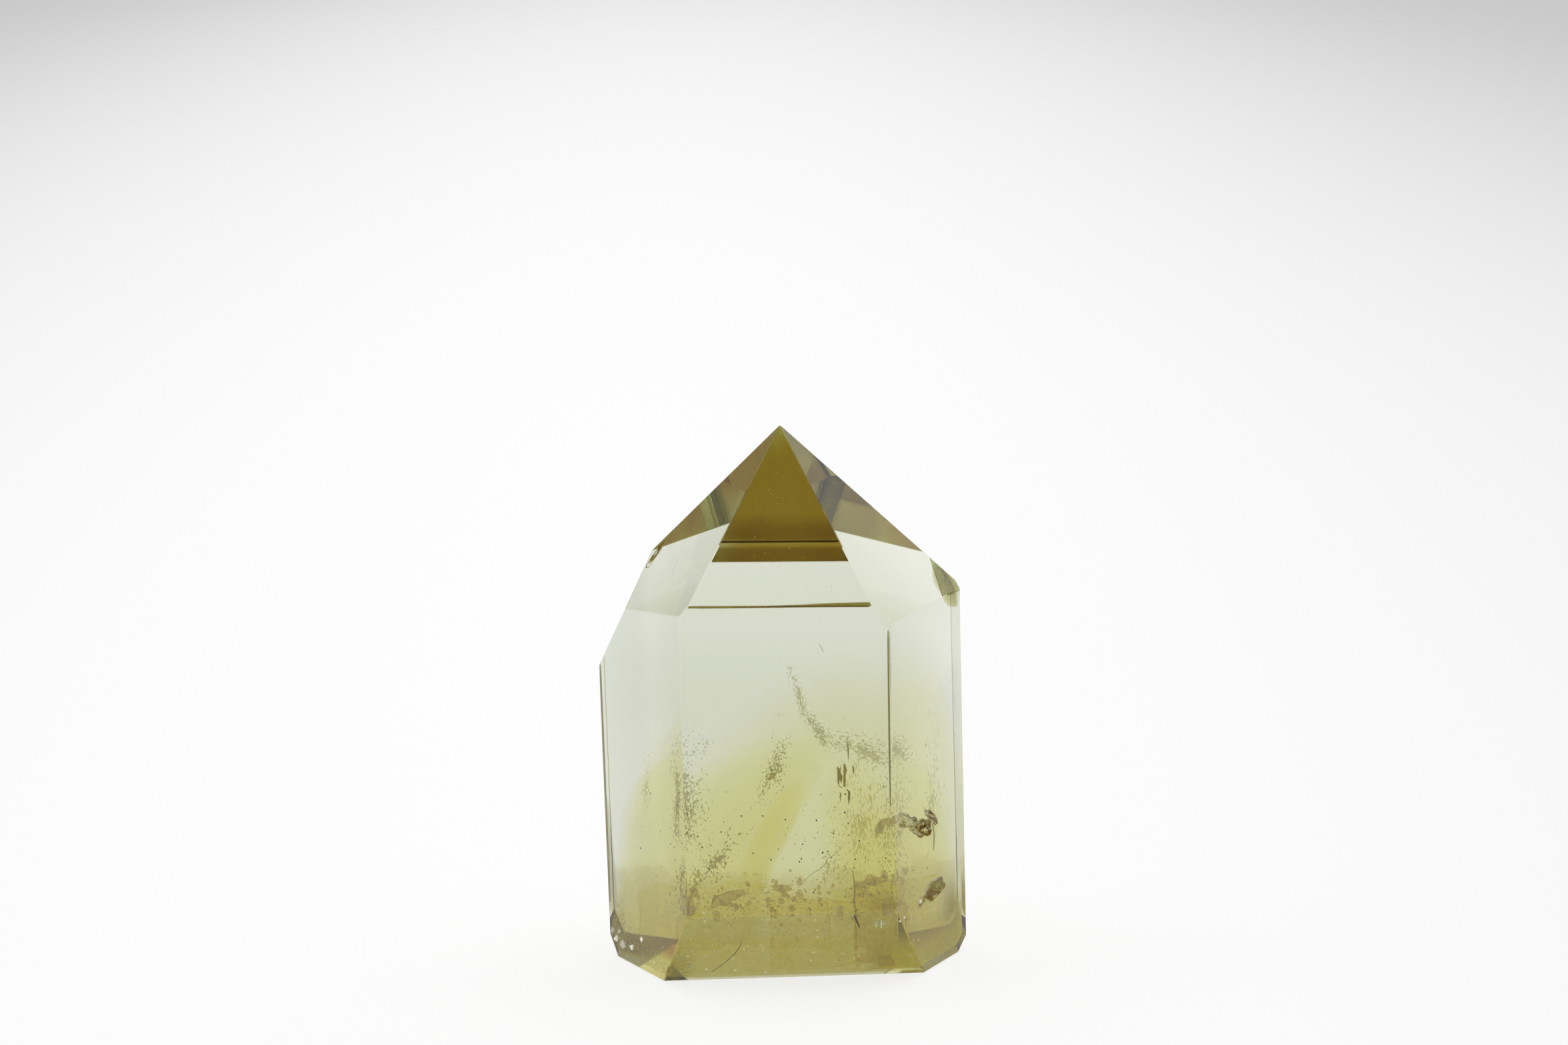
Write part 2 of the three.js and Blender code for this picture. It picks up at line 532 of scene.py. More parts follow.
@dataclass(frozen=True)
class CloudFinish:
    """Cloudy olive quartz: flecked patches that tint and spread the light, and clearer gaps."""

    name: str
    olive: Triple = (0.9, 0.86, 0.62)
    milk: Triple = (0.97, 0.92, 0.66)
    least_milk: float = 0.0
    most_milk: float = 0.3
    milk_range: Pair = (0.44, 0.66)  # the fleck level where the milk is least and most
    through: float = 0.75
    solid_below: float = 3.0
    clear_above: float = 9.0
    walls: Pair = (0.9, 0.6)  # how far up a face may point: no cloud, and all of it
    cover_range: Pair = (0.95, 1.75)  # the level where the tint starts and where it is full
    reach_weight: float = 0.5
    patch_size: float = 1.5
    patch_stretch: Triple = (1.4, 1.0, 1.0)
    fleck_size: float = 0.26
    fleck_stretch: Triple = (1.8, 1.0, 1.0)
    fleck_rough: float = 0.75
    fleck_shift: float = 3.0
    fleck_weight: float = 0.7
    shift: float = 0.0
    corners: Corners = Corners.NONE
    corner_from: float = 7.0  # how far out from the middle the corners start
    corner_width: float = 3.0

    def reach(self, paint: Paint) -> Socket:
        """How much of the cloud there can be: none on top of it, all low on its walls.

        Args:
            paint: The material's nodes.

        Returns:
            The share, from 0 to 1.
        """
        across, _, height = paint.axes(paint.place())
        low = paint.add(
            "MapRange", Value=height, From_Min=self.clear_above * MM,
            From_Max=self.solid_below * MM).outputs[0]
        way = paint.axes(paint.add("NewGeometry").outputs["Normal"])
        tilt = paint.maths("ABSOLUTE", way[2], 0.0)
        share = paint.maths("MULTIPLY", low, paint.spread(tilt, *self.walls), clamp=True)
        if self.corners is Corners.NONE:
            return share
        side = paint.maths("MULTIPLY", across, self.corners.value)
        start, end = self.corner_from * MM, (self.corner_from + self.corner_width) * MM
        return paint.maths("MULTIPLY", share, paint.spread(side, start, end), clamp=True)

    def build(self) -> Material:
        """Makes the cloud material.

        Returns:
            The material.
        """
        paint = Paint(self.name)
        reach = self.reach(paint)
        blotch = paint.patches(self.patch_size, self.patch_stretch, shift=self.shift)
        fleck = paint.patches(
            self.fleck_size, self.fleck_stretch, self.fleck_rough, self.shift + self.fleck_shift)
        level = paint.maths("ADD", blotch, paint.maths("MULTIPLY", fleck, self.fleck_weight))
        level = paint.maths("ADD", level, paint.maths("MULTIPLY", reach, self.reach_weight))
        cover = paint.spread(level, *self.cover_range)
        tint = paint.add(
            "MixRGB", Fac=paint.maths("MULTIPLY", cover, reach, clamp=True), Color1=WHITE,
            Color2=(*self.olive, 1))
        pale = paint.add(
            "MapRange", Value=fleck, From_Min=self.milk_range[0], From_Max=self.milk_range[1],
            To_Min=self.least_milk, To_Max=self.most_milk)
        share = paint.maths("MULTIPLY", pale.outputs[0], reach, clamp=True)
        milk = paint.blend(
            self.through, paint.add("BsdfDiffuse", Color=(*self.milk, 1)),
            paint.add("BsdfTranslucent", Color=(*self.milk, 1)))
        return paint.done(paint.blend(share, paint.clear(tint.outputs[0]), milk))


@dataclass(frozen=True)
class Stain:
    """One round stain of a film: strongest in its middle and thinning out to its rim."""

    passed: Triple
    centre: Pair
    size: Pair
    fade: Pair = (0.05, 0.45)  # how near its middle it starts and is at its strongest

    def strength(self, paint: Paint) -> Socket:
        """How strong the stain is at a place.

        Args:
            paint: The film's nodes.

        Returns:
            The strength, from 0 to 1.
        """
        near = paint.counted(mm(*self.centre, 0), (self.size[0] * MM, self.size[1] * MM, 1))
        return paint.spread(paint.ball(near), *self.fade)


@dataclass(frozen=True)
class FilmFinish:
    """A tinted film made of round stains that overlap."""

    name: str = "underside_olive"
    stains: tuple[Stain, ...] = (
        Stain((0.85, 0.7, 0.36), (3, 8), (13, 11)),
        Stain((0.83, 0.75, 0.58), (-11, 6.8), (5.5, 6)),
        Stain((0.93, 0.88, 0.66), (-9.3, 9.8), (3.6, 2.6)),
        Stain((0.9, 0.81, 0.62), (13, 5), (3.5, 4)),
        Stain((0.985, 0.965, 0.84), (4.8, 6), (4.5, 8)),
    )

    def build(self) -> Material:
        """Makes the film material.

        Returns:
            The material.
        """
        paint = Paint(self.name)
        passed = WHITE
        for stain in self.stains:
            tint = paint.add(
                "MixRGB", Fac=stain.strength(paint), Color1=passed, Color2=(*stain.passed, 1))
            tint.blend_type = "MULTIPLY"
            passed = tint.outputs[0]
        return paint.done(paint.clear(passed))


@dataclass(frozen=True)
class PaperFinish:
    """White floor paper, lit a little from below, with a painted pool of light that dims away from
    the crystal and painted shade towards the front.
    """

    name: str = "floor_paper"
    glow: float = 0.79
    shade: float = 0.27
    dimmest: float = 0.6
    painted_pool: Triple = (0.5, 3.6, 1.0)  # metres: the size of the painted pool of light
    centre: Triple = (-0.025, 0.15, 0.0)
    painted_front_shade: Pair = (-0.16, -0.045)  # how far in front the paper is dimmest and brightest: painted shade
    front_left: float = 0.35

    def build(self) -> Material:
        """Makes the paper material.

        Returns:
            The material.
        """
        paint = Paint(self.name)
        # painted light: the paper's colour and glow dim away from the pool's centre and towards the
        # front
        near = paint.ball(paint.counted(self.centre, self.painted_pool))
        front = paint.spread(paint.axes(paint.place())[1], *self.painted_front_shade, self.front_left)
        light = paint.spread(near, 0.0, 1.0, self.dimmest)
        level = paint.maths("MULTIPLY", light, front, clamp=True)
        dim = paint.maths("MULTIPLY", level, self.shade, clamp=True)
        glow = paint.maths("MULTIPLY", level, self.glow, clamp=True)
        shade = paint.add("CombineColor", Red=dim, Green=dim, Blue=dim)
        paper = paint.add("BsdfDiffuse", Color=shade.outputs[0])
        lit = paint.add("Emission", Color=WHITE, Strength=glow)
        both = paint.add("AddShader")
        paint.feed(both.inputs[0], paper.outputs[0])
        paint.feed(both.inputs[1], lit.outputs[0])
        return paint.done(both)


# ------------------------------------------------------------------ the crystal


@dataclass(frozen=True)
class FlatFace:
    """One flat face of the crystal: points p with normal . p = reach, in metres."""

    normal: Vector
    reach: float


@dataclass
class Crystal:
    """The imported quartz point, and the flat faces that bound it."""

    finish: QuartzFinish = QuartzFinish()
    least_face: float = 2e-6  # square metres: anything smaller is a hollow or an edge flat
    same_way: float = 0.9999
    same_reach: float = 0.02 * MM
    inset: float = FIRST_INSET
    faces: list[FlatFace] = field(default_factory=list)

    def shape(self) -> Piece:
        """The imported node's object."""
        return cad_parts[NODE]

    def find_faces(self) -> None:
        """Finds the large flat faces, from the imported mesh."""
        sums: list[list] = []
        for polygon in self.shape().data.polygons:
            normal = polygon.normal.copy()
            reach = normal.dot(polygon.center)
            for entry in sums:
                if (entry[0].dot(normal) > self.same_way
                        and abs(entry[1] - reach) < self.same_reach):
                    entry[2] += polygon.area
                    break
            else:
                sums.append([normal, reach, polygon.area])
        self.faces = [FlatFace(n, r) for n, r, area in sums if area > self.least_face]
        LOG.info("%s: %d large faces", NODE, len(self.faces))

    def dress(self) -> None:
        """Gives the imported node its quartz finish."""
        slots = self.shape().data.materials
        slots.clear()
        slots.append(self.finish.build())

    def trim(self, shell: Shell, deeper: float = 0.0) -> None:
        """Cuts a zone or cloud back, each a little deeper, so that no two lie in one plane.

        Args:
            shell: The closed shell to cut, changed in place.
            deeper: How much further inside the faces it is cut, in metres.
        """
        self.cut(shell, self.inset + deeper)
        self.inset += NEXT_INSET

    def cut(self, shell: Shell, inset: float = PLATE_INSET) -> None:
        """Cuts a closed shell back to a little inside the faces, and closes it.

        Args:
            shell: The shell to cut, changed in place.
            inset: How far inside the faces it is cut, in metres.
        """
        for face in self.faces:
            reach = face.reach - inset
            if all(face.normal.dot(v.co) < reach for v in shell.verts):
                continue
            bmesh.ops.bisect_plane(
                shell, geom=shell.verts[:] + shell.edges[:] + shell.faces[:],
                plane_co=face.normal * reach, plane_no=face.normal, clear_outer=True,
                dist=SAME_SPOT)
            rim = [edge for edge in shell.edges if edge.is_boundary]
            bmesh.ops.holes_fill(shell, edges=rim, sides=0)
        bmesh.ops.recalc_face_normals(shell, faces=shell.faces)

    def holds(self, point: Vector, margin: float) -> bool:
        """Whether a point lies at least a margin inside every large face."""
        return all(face.normal.dot(point) < face.reach - margin for face in self.faces)


# ------------------------------------------------------------------ mesh helpers


def add_object(name: str, data: bpy.types.ID) -> bpy.types.Object:
    """Puts a mesh, a lamp or a camera into the scene.

    Args:
        name: The object's name.
        data: What it shows.

    Returns:
        The object.
    """
    thing = bpy.data.objects.new(name, data)
    bpy.context.scene.collection.objects.link(thing)
    return thing


def as_mesh(name: str, shell: Shell) -> bpy.types.Mesh:
    """Turns a shell into a mesh, and frees the shell.

    Args:
        name: The mesh's name.
        shell: Its shape.

    Returns:
        The mesh.
    """
    mesh = bpy.data.meshes.new(name)
    shell.to_mesh(mesh)
    shell.free()
    return mesh


def finish_piece(name: str, shell: Shell, material: Material) -> Piece:
    """Turns a finished shell into a piece of the crystal, and frees the shell.

    Args:
        name: The piece's name.
        shell: Its shape, already in place.
        material: Its only material.

    Returns:
        The object, riding with the crystal.
    """
    mesh = as_mesh(name, shell)
    mesh.materials.append(material)
    piece = add_object(name, mesh)
    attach(piece, BODY)
    LOG.info("%s: %d faces", name, len(mesh.polygons))
    return piece


def add_layer(shell: Shell) -> set[bmesh.types.BMVert]:
    """Gives an open sheet a second layer, with walls between the two rims.

    It is all made in a fixed order, so that the mesh is the same each run. The second layer
    faces the same way as the first until the crystal cuts the shell.

    Args:
        shell: The sheet, changed in place.

    Returns:
        The second layer's points, which still lie on the first.
    """
    rim = [edge.link_loops[0] for edge in shell.edges if edge.is_boundary]
    sides = [(loop.vert, loop.link_loop_next.vert) for loop in rim]
    sheet = list(shell.faces)
    second = {vertex: shell.verts.new(vertex.co) for vertex in list(shell.verts)}
    for face in sheet:
        shell.faces.new([second[vertex] for vertex in face.verts])
    for a, b in sides:
        shell.faces.new((b, a, second[a], second[b]))
    return set(second.values())


def on_curve(a: tuple, b: tuple, c: tuple, d: tuple, t: float) -> tuple[float, ...]:
    """A place on the smooth curve through four points.

    Args:
        a: The point before the stretch.
        b: The point where the stretch starts.
        c: The point where it ends.
        d: The point after it.
        t: How far along the stretch, from 0 to 1.

    Returns:
        The place.
    """
    return tuple(
        0.5 * (2 * q + (r - p) * t + (2 * p - 5 * q + 4 * r - s) * t * t
               + (3 * q - p - 3 * r + s) * t ** 3)
        for p, q, r, s in zip(a, b, c, d))


def smooth_loop(points: Outline, steps: int) -> Outline:
    """Rounds a closed outline.

    Args:
        points: The outline's points, in order.
        steps: How many points the smooth outline gets between two of them.

    Returns:
        The smooth outline.
    """
    count = len(points)
    return [
        on_curve(*(points[(i + k) % count] for k in (-1, 0, 1, 2)), step / steps)
        for i in range(count) for step in range(steps)]


# ------------------------------------------------------------------ zones and clouds


@dataclass
class ColourZone:
    """A lens of coloured quartz, thick at its core and thinning to nothing at its rim.

    The outline is drawn in the upright plane through depth, in millimetres, with x to the
    right and z up. Every point of it can be seen from the core. The lens is cut off at the
    crystal's own faces.
    """

    name: str
    finish: Finish
    outline: Outline
    core: Pair
    half_depth: float = 12.0
    depth: float = 0.0
    roundness: float = 4.0
    fade: float = 1.5
    rings: int = 16
    steps: int = 8

    def row(self, rim: Outline, r: float, side: int) -> list[Vector]:
        """One ring of the lens.

        Args:
            rim: The smooth outline.
            r: The ring's size, as a share of the outline's.
            side: -1 for the front half of the lens, 1 for the back half.

        Returns:
            The ring's points.
        """
        out = side * self.half_depth * (1 - r ** self.roundness) ** self.fade
        cx, cz = self.core
        return [mm(cx + r * (x - cx), self.depth + out, cz + r * (z - cz)) for x, z in rim]

    def build(self, crystal: Crystal) -> Piece:
        """Makes the zone.

        Args:
            crystal: The crystal that holds it.

        Returns:
            The zone's object.
        """
        rim = smooth_loop(self.outline, self.steps)
        shell = bmesh.new()
        edge = [shell.verts.new(p) for p in self.row(rim, 1.0, 1)]
        for side in (-1, 1):
            tip = shell.verts.new(self.row(rim[:1], 0.0, side)[0])
            rows = [[shell.verts.new(p) for p in self.row(rim, ring / self.rings, side)]
                    for ring in range(1, self.rings)] + [edge]
            for i in range(len(rim)):
                j = (i + 1) % len(rim)
                shell.faces.new((tip, rows[0][i], rows[0][j]))
                for inner, outer in zip(rows, rows[1:]):
                    shell.faces.new((inner[i], outer[i], outer[j], inner[j]))
        crystal.trim(shell)
        return finish_piece(self.name, shell, self.finish.build())


@dataclass
class FootCloud:
    """A cloud that fills the foot below a ragged, wavy top."""

    name: str
    finish: Finish
    top: float
    deeper: float = 0.0
    wave: float = 1.6
    wave_size: float = 3.6
    roughness: Triple = (0.7, 2.1, 5)  # the waves' falloff, their spacing and how many sizes
    climb: float = 0.0  # how fast the top climbs towards the back
    ceiling: float = 60.0  # how high it climbs at most
    seed: float = 0.0
    half_width: float = 20.0
    cell: float = 0.6

    def build(self, crystal: Crystal) -> Piece:
        """Makes the cloud's closed shell.

        Args:
            crystal: The crystal that holds it.

        Returns:
            The cloud's object.
        """
        shell = bmesh.new()
        count = int(2 * self.half_width / self.cell)
        bmesh.ops.create_grid(
            shell, x_segments=count, y_segments=count, size=self.half_width * MM)
        for vertex in shell.verts:
            place = vertex.co / (self.wave_size * MM) + Vector((self.seed, self.seed, 0))
            swell = noise.fractal(place, *self.roughness, noise_basis="PERLIN_ORIGINAL")
            rise = min(self.top + self.climb * vertex.co.y / MM, self.ceiling)
            vertex.co.z = (rise + self.wave * swell) * MM
        lowest = add_layer(shell)
        bottom = min(-MM, min(v.co.z for v in shell.verts) - MM)
        for vertex in lowest:
            vertex.co.z = bottom
        crystal.trim(shell, self.deeper * MM)
        return finish_piece(self.name, shell, self.finish.build())


@dataclass
class Underside:
    """The olive film that lies just inside the crystal's ground underside."""

    name: str = "underside_film"
    finish: Finish = FilmFinish()
    height: float = 0.11
    thickness: float = 0.03
    half_width: float = 20.0
    front: float = -4.0  # it starts here and covers the back

    def build(self, crystal: Crystal) -> Piece:
        """Makes the film as a thin closed plate.

        Args:
            crystal: The crystal that holds it.

        Returns:
            The film's object.
        """
        plate = bmesh.new()
        bmesh.ops.create_cube(plate, size=1.0)
        wide = 2 * self.half_width * MM
        middle = (self.height + self.thickness / 2) * MM
        for vertex in plate.verts:
            x, y, z = vertex.co
            vertex.co = Vector((
                x * wide, max(y * wide, self.front * MM), middle + z * self.thickness * MM))
        crystal.cut(plate)
        return finish_piece(self.name, plate, self.finish.build())


@dataclass
class HollowLining:
    """The stained lining of the open hollows, just under their broken surface, with cream that is
    partly a painted highlight.
    """

    name: str = "hollow_stain_and_highlight"
    finish: Finish = StainFinish()
    under: float = 0.05 * MM
    same_spot: float = 1e-6
    face_reach: float = 0.05 * MM
    edge_strip: float = 0.45 * MM  # the width of the polished edge flats, which have no stain

    def is_flat(self, crystal: Crystal, polygon: bpy.types.MeshPolygon) -> bool:
        """Tells polished triangles from those of a hollow.

        Args:
            crystal: The crystal with the hollows.
            polygon: The triangle.

        Returns:
            Whether it belongs to a large face or to an edge flat.
        """
        reaches = [face.reach - face.normal.dot(polygon.center) for face in crystal.faces]
        on_face = min(abs(r) for r in reaches) < self.face_reach
        return on_face or sorted(reaches)[1] < self.edge_strip

    def build(self, crystal: Crystal) -> Piece:
        """Makes the lining from the hollows' own triangles.

        Args:
            crystal: The crystal with the hollows.

        Returns:
            The lining's object.
        """
        mesh = crystal.shape().data
        film = bmesh.new()
        film.from_mesh(mesh)
        film.faces.ensure_lookup_table()
        flats = [film.faces[p.index] for p in mesh.polygons if self.is_flat(crystal, p)]
        bmesh.ops.delete(film, geom=flats, context="FACES")
        bmesh.ops.remove_doubles(film, verts=film.verts, dist=self.same_spot)
        film.normal_update()
        for vertex in film.verts:
            vertex.co -= vertex.normal * self.under
        return finish_piece(self.name, film, self.finish.build())


# ------------------------------------------------------------------ veils of shards


class Habit(Enum):
    """A shard's form: how wide and how thick it is for its length."""

    SPECK = (0.8, 0.8)
    FLAKE = (0.75, 0.08)


@dataclass
class ShardNodes(Nodes):
    """The Geometry Nodes that scatter shards in loose clumps over a sheet."""

    tree: bpy.types.NodeTree = field(init=False)
    given: bpy.types.NodeOutputs = field(init=False)
    name: str = "scatter_shards"
    rag_size: float = 0.16 * MM
    skew: float = 3.0  # how much commoner small shards are than large ones
    clump_range: Pair = (0.7, 0.32)  # noise level where no clump and all is kept
    sockets: dict[str, str] = field(default_factory=dict)

    def __post_init__(self) -> None:
        """Makes the tree, with its named inputs and its output."""
        self.tree = bpy.data.node_groups.new(self.name, "GeometryNodeTree")
        entries = {
            "Sheet": "Geometry", "Density": "Float", "Least Size": "Float",
            "Greatest Size": "Float", "Width": "Float", "Thickness": "Float",
            "Lean": "Vector", "Tumble": "Vector", "Strewn": "Float", "Clump Size": "Float",
            "Clump Share": "Float", "Ragged": "Float", "Detail": "Int", "Seed": "Int",
            "Finish": "Material"}
        for name, kind in entries.items():
            socket = self.tree.interface.new_socket(
                name, in_out="INPUT", socket_type=f"NodeSocket{kind}")
            self.sockets[name] = socket.identifier
        self.tree.interface.new_socket(
            "Shards", in_out="OUTPUT", socket_type="NodeSocketGeometry")
        self.given = self.tree.nodes.new("NodeGroupInput").outputs

    def random_vector(self, reach: Socket) -> Socket:
        """Draws a vector between minus and plus a reach.

        Args:
            reach: The greatest value on each axis.

        Returns:
            The vector.
        """
        draw = self.add("FunctionNodeRandomValue")
        draw.data_type = "FLOAT_VECTOR"
        self.feed(draw.inputs[0], (-1, -1, -1))
        self.feed(draw.inputs[1], (1, 1, 1))
        self.feed(draw.inputs["Seed"], self.given["Seed"])
        return self.vector("MULTIPLY", draw.outputs[0], reach)

    def keep_clumps(self, points: Socket) -> Socket:
        """Deletes the points that lie between the clumps.

        Args:
            points: The scattered points.

        Returns:
            The kept points.
        """
        spot = self.add("GeometryNodeInputPosition").outputs[0]
        grain = self.add(
            "TexNoise", Vector=self.vector("DIVIDE", spot, self.given["Clump Size"]),
            Scale=1.0, Detail=3.0)
        grain.noise_dimensions = "4D"
        self.feed(grain.inputs["W"], self.given["Seed"])
        none, everything = self.clump_range
        level = self.add(
            "MapRange", Value=self.given["Clump Share"], To_Min=none, To_Max=everything)
        between = self.add("FunctionNodeCompare")
        between.operation = "LESS_THAN"
        self.feed(between.inputs[0], grain.outputs[0])
        self.feed(between.inputs[1], level.outputs[0])
        return self.add(
            "GeometryNodeDeleteGeometry", Geometry=points,
            Selection=between.outputs[0]).outputs[0]

    def points(self) -> Socket:
        """Strews the shards' places over the sheet and around it.

        Returns:
            The loose points.
        """
        strewn = self.add(
            "GeometryNodeDistributePointsOnFaces", Mesh=self.given["Sheet"],
            Density=self.given["Density"], Seed=self.given["Seed"])
        return self.add(
            "GeometryNodeSetPosition", Geometry=self.keep_clumps(strewn.outputs["Points"]),
            Offset=self.random_vector(self.given["Strewn"])).outputs[0]

    def shards(self) -> Socket:
        """Puts a turned and sized pebble on each point.

        Returns:
            The shards as one mesh.
        """
        chance = self.add("FunctionNodeRandomValue", Seed=self.given["Seed"])
        length = self.add(
            "MapRange", Value=self.maths("POWER", chance.outputs[1], self.skew),
            To_Min=self.given["Least Size"], To_Max=self.given["Greatest Size"]).outputs[0]
        scale = self.add(
            "CombineXYZ", X=self.maths("MULTIPLY", length, self.given["Width"]),
            Y=self.maths("MULTIPLY", length, self.given["Thickness"]), Z=length)
        tumble = self.random_vector(self.given["Tumble"])
        turn = self.add(
            "FunctionNodeEulerToRotation", Euler=self.vector("ADD", self.given["Lean"], tumble))
        pebble = self.add(
            "GeometryNodeMeshIcoSphere", Radius=0.5, Subdivisions=self.given["Detail"])
        copies = self.add(
            "GeometryNodeInstanceOnPoints", Points=self.points(), Instance=pebble.outputs[0],
            Rotation=turn.outputs[0], Scale=scale.outputs[0])
        return self.add(
            "GeometryNodeRealizeInstances", Geometry=copies.outputs[0]).outputs[0]

    def build(self) -> None:
        """Builds the whole tree: the shards get ragged skins and their finish."""
        spot = self.add("GeometryNodeInputPosition").outputs[0]
        grain = self.add("TexNoise", Vector=spot, Scale=1 / self.rag_size, Detail=1.0)
        swing = self.vector("SUBTRACT", grain.outputs[1], (0.5, 0.5, 0.5))
        rough = self.add(
            "GeometryNodeSetPosition", Geometry=self.shards(),
            Offset=self.vector("MULTIPLY", swing, self.given["Ragged"]))
        dressed = self.add(
            "GeometryNodeSetMaterial", Geometry=rough.outputs[0],
            Material=self.given["Finish"])
        result = self.tree.nodes.new("NodeGroupOutput")
        self.feed(result.inputs[0], dressed.outputs[0])


@dataclass
class Veil:
    """A sheet of small flaws inside the crystal.

    The sheet's outline is drawn in millimetres with x to the right and z up. It stands
    upright at a depth, or leans by a slope: how much deeper it gets for each millimetre up.
    """

    name: str
    finish: Finish
    habit: Habit
    outline: Outline
    depth: float
    per_mm2: float
    sizes: Pair
    slope: float = 0.0
    lean: Triple = (0.0, 0.0, 0.0)
    tumble: Triple = (40.0, 40.0, 40.0)
    strewn: float = 0.6
    clump_size: float = 1.5
    clump_share: float = 0.6
    ragged: float = 0.1
    detail: int = 1
    seed: int = 1
    margin: float = 0.3 * MM

    def sheet(self) -> bpy.types.Mesh:
        """Makes the sheet that the flaws are strewn over.

        Returns:
            The sheet's mesh.
        """
        middle = sum(z for _, z in self.outline) / len(self.outline)
        flat = bmesh.new()
        flat.faces.new([
            flat.verts.new(mm(x, self.depth + self.slope * (z - middle), z))
            for x, z in self.outline])
        return as_mesh(f"{self.name}_sheet", flat)

    def scatter(self, nodes: ShardNodes) -> bpy.types.Mesh:
        """Runs the nodes over the sheet.

        Args:
            nodes: The shard nodes, already built.

        Returns:
            The plain mesh of all the shards.
        """
        width, thickness = self.habit.value
        carrier = add_object(f"{self.name}_carrier", self.sheet())
        modifier = carrier.modifiers.new("shards", "NODES")
        modifier.node_group = nodes.tree
        values = {
            "Density": self.per_mm2 / MM ** 2, "Least Size": self.sizes[0] * MM,
            "Greatest Size": self.sizes[1] * MM, "Width": width, "Thickness": thickness,
            "Lean": [math.radians(a) for a in self.lean],
            "Tumble": [math.radians(a) for a in self.tumble], "Strewn": self.strewn * MM,
            "Clump Size": self.clump_size * MM, "Clump Share": self.clump_share,
            "Ragged": self.ragged * MM, "Detail": self.detail, "Seed": self.seed,
            "Finish": self.finish.build()}
        for name, value in values.items():
            modifier[nodes.sockets[name]] = value
        graph = bpy.context.evaluated_depsgraph_get()
        mesh = bpy.data.meshes.new_from_object(carrier.evaluated_get(graph))
        bpy.data.objects.remove(carrier)
        return mesh

    def build(self, crystal: Crystal, nodes: ShardNodes) -> Piece:
        """Makes the veil, without the shards that would break through the crystal's faces.

        Args:
            crystal: The crystal that holds it.
            nodes: The shard nodes, already built.

        Returns:
            The veil's object.
        """
        shell = bmesh.new()
        shell.from_mesh(self.scatter(nodes))
        corners = ICO_CORNERS[self.detail]
        points = list(shell.verts)
        outside = []
        for start in range(0, len(points), corners):
            shard = points[start:start + corners]
            if not all(crystal.holds(v.co, self.margin) for v in shard):
                outside += shard
        bmesh.ops.delete(shell, geom=outside, context="VERTS")
        return finish_piece(self.name, shell, self.finish.build())


# ------------------------------------------------------------------ single flaws


@dataclass
class Fracture:
    """A ragged inner break: a thin flake of given outline, in an upright or leaning plane."""

    name: str
    finish: Finish
    outline: Outline
    depth: float  # of the plane at the crystal's middle
    slope: Pair = (0.0, 0.0)
    thickness: float = 0.05
    ragged: float = 0.22
    rag_size: float = 0.55
    cell: float = 0.12
    buckle: float = 0.15
    seed: float = 0.0

    def rim(self) -> Outline:
        """Cuts the outline into short steps and makes it ragged.

        Returns:
            The ragged outline.
        """
        rim = []
        for (ax, az), (bx, bz) in zip(self.outline, self.outline[1:] + self.outline[:1]):
            steps = max(1, round(math.hypot(bx - ax, bz - az) / self.cell))
            for step in range(steps):
                x = ax + (bx - ax) * step / steps
                z = az + (bz - az) * step / steps
                swing = noise.noise_vector(Vector((x, self.seed, z)) / self.rag_size)
                rim.append((x + self.ragged * swing.x, z + self.ragged * swing.z))
        return rim

    def build(self, crystal: Crystal) -> Piece:
        """Makes the fracture as a thin closed plate.

        Args:
            crystal: The crystal that holds it.

        Returns:
            The fracture's object.
        """
        plate = bmesh.new()
        face = plate.faces.new([plate.verts.new(mm(x, 0, z)) for x, z in self.rim()])
        bmesh.ops.triangulate(plate, faces=[face])
        back = add_layer(plate)
        for vertex in plate.verts:
            x, z = vertex.co.x / MM, vertex.co.z / MM
            swell = self.buckle * noise.noise(Vector((x, self.seed, z)) / self.rag_size / 2)
            lie = self.depth + self.slope[0] * x + self.slope[1] * z + swell
            vertex.co.y = (lie + (self.thickness if vertex in back else 0)) * MM
        crystal.cut(plate)
        return finish_piece(self.name, plate, self.finish.build())


@dataclass
class GrainSheet:
    """A thin, gently warped sheet of fine grains inside the crystal."""

    name: str
    finish: GrainFinish
    centre: Triple
    half: Pair
    turn: float = 0.0
    warp: float = 0.5
    warp_size: float = 3.0
    thickness: float = 0.03
    cells: int = 8

    def build(self, crystal: Crystal) -> Piece:
        """Makes the sheet as a thin closed plate.

        Args:
            crystal: The crystal that holds it.

        Returns:
            The sheet's object.
        """
        middle, turn = Vector(self.centre), math.radians(self.turn)
        plate = bmesh.new()
        bmesh.ops.create_grid(plate, x_segments=self.cells, y_segments=self.cells, size=1.0)
        back = add_layer(plate)
        for vertex in plate.verts:
            x, z = vertex.co.x * self.half[0], vertex.co.y * self.half[1]
            wave = noise.noise(Vector((x, middle.x + middle.z, z)) / self.warp_size)
            out = self.warp * wave + (self.thickness if vertex in back else 0)
            spot = Vector((x, out, z))
            spot.rotate(Euler((0, turn, 0)))
            vertex.co = (middle + spot) * MM
        crystal.cut(plate)
        return finish_piece(self.name, plate, self.finish.build(middle, turn, self.half))


